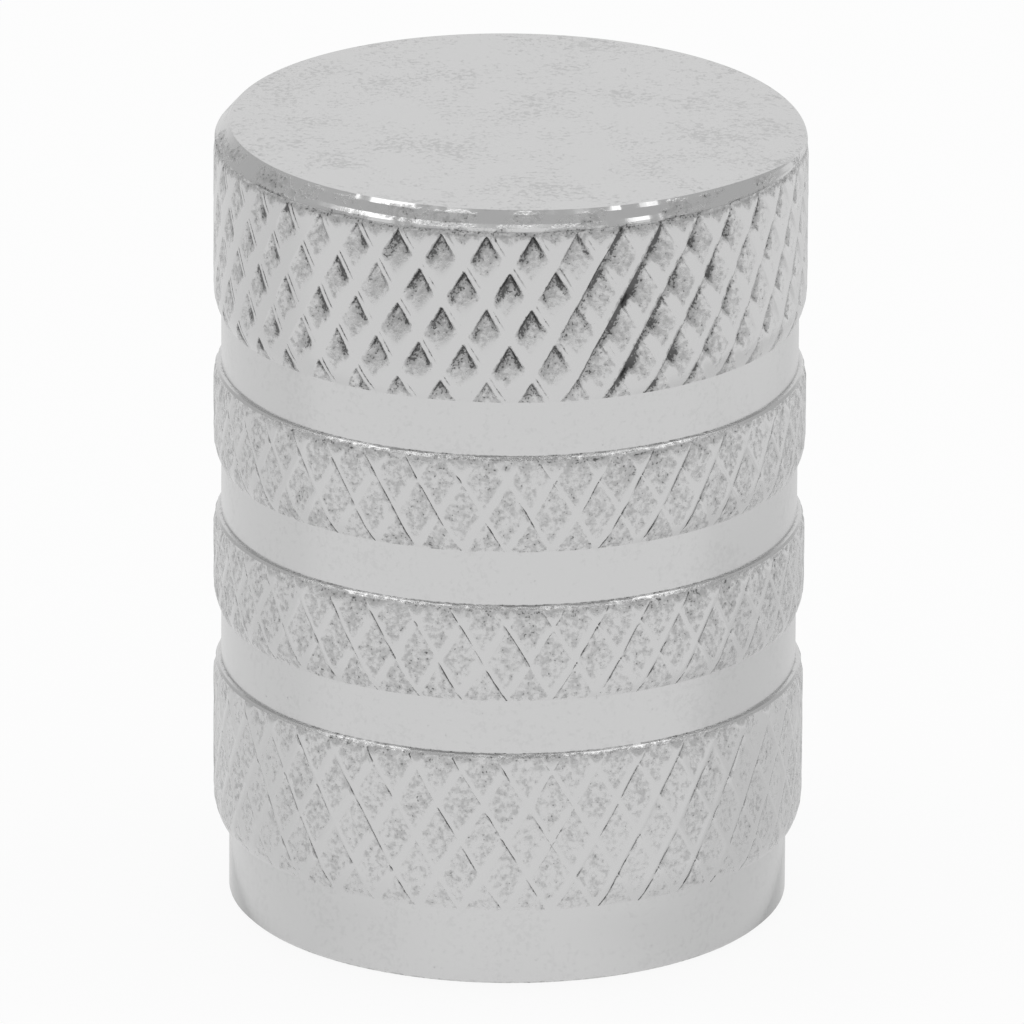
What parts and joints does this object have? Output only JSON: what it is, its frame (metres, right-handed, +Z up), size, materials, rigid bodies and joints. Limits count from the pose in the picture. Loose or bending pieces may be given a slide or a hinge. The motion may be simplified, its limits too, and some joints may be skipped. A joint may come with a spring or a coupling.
{
  "type": "tyre valve cap",
  "caption": "Aluminium dust cap with diamond-knurled bands between plain grooves, screwed onto a tyre valve stem and sealed by a rubber ring.",
  "frame": {"origin": "centre of the open rim, on the cap's axis", "axes": "+Z runs up the cap's axis from the open rim to the crown; -Y is the side shown in the picture"},
  "size_m": [0.011, 0.011, 0.0151],
  "materials": {
    "turned_aluminium": "satin turned metal, rough in the pits of the knurl",
    "seal_rubber": "matt"
  },
  "bodies": {
    "root": {"cap_body": "turned_aluminium", "seal_washer": "seal_rubber"}
  },
  "joints": []
}
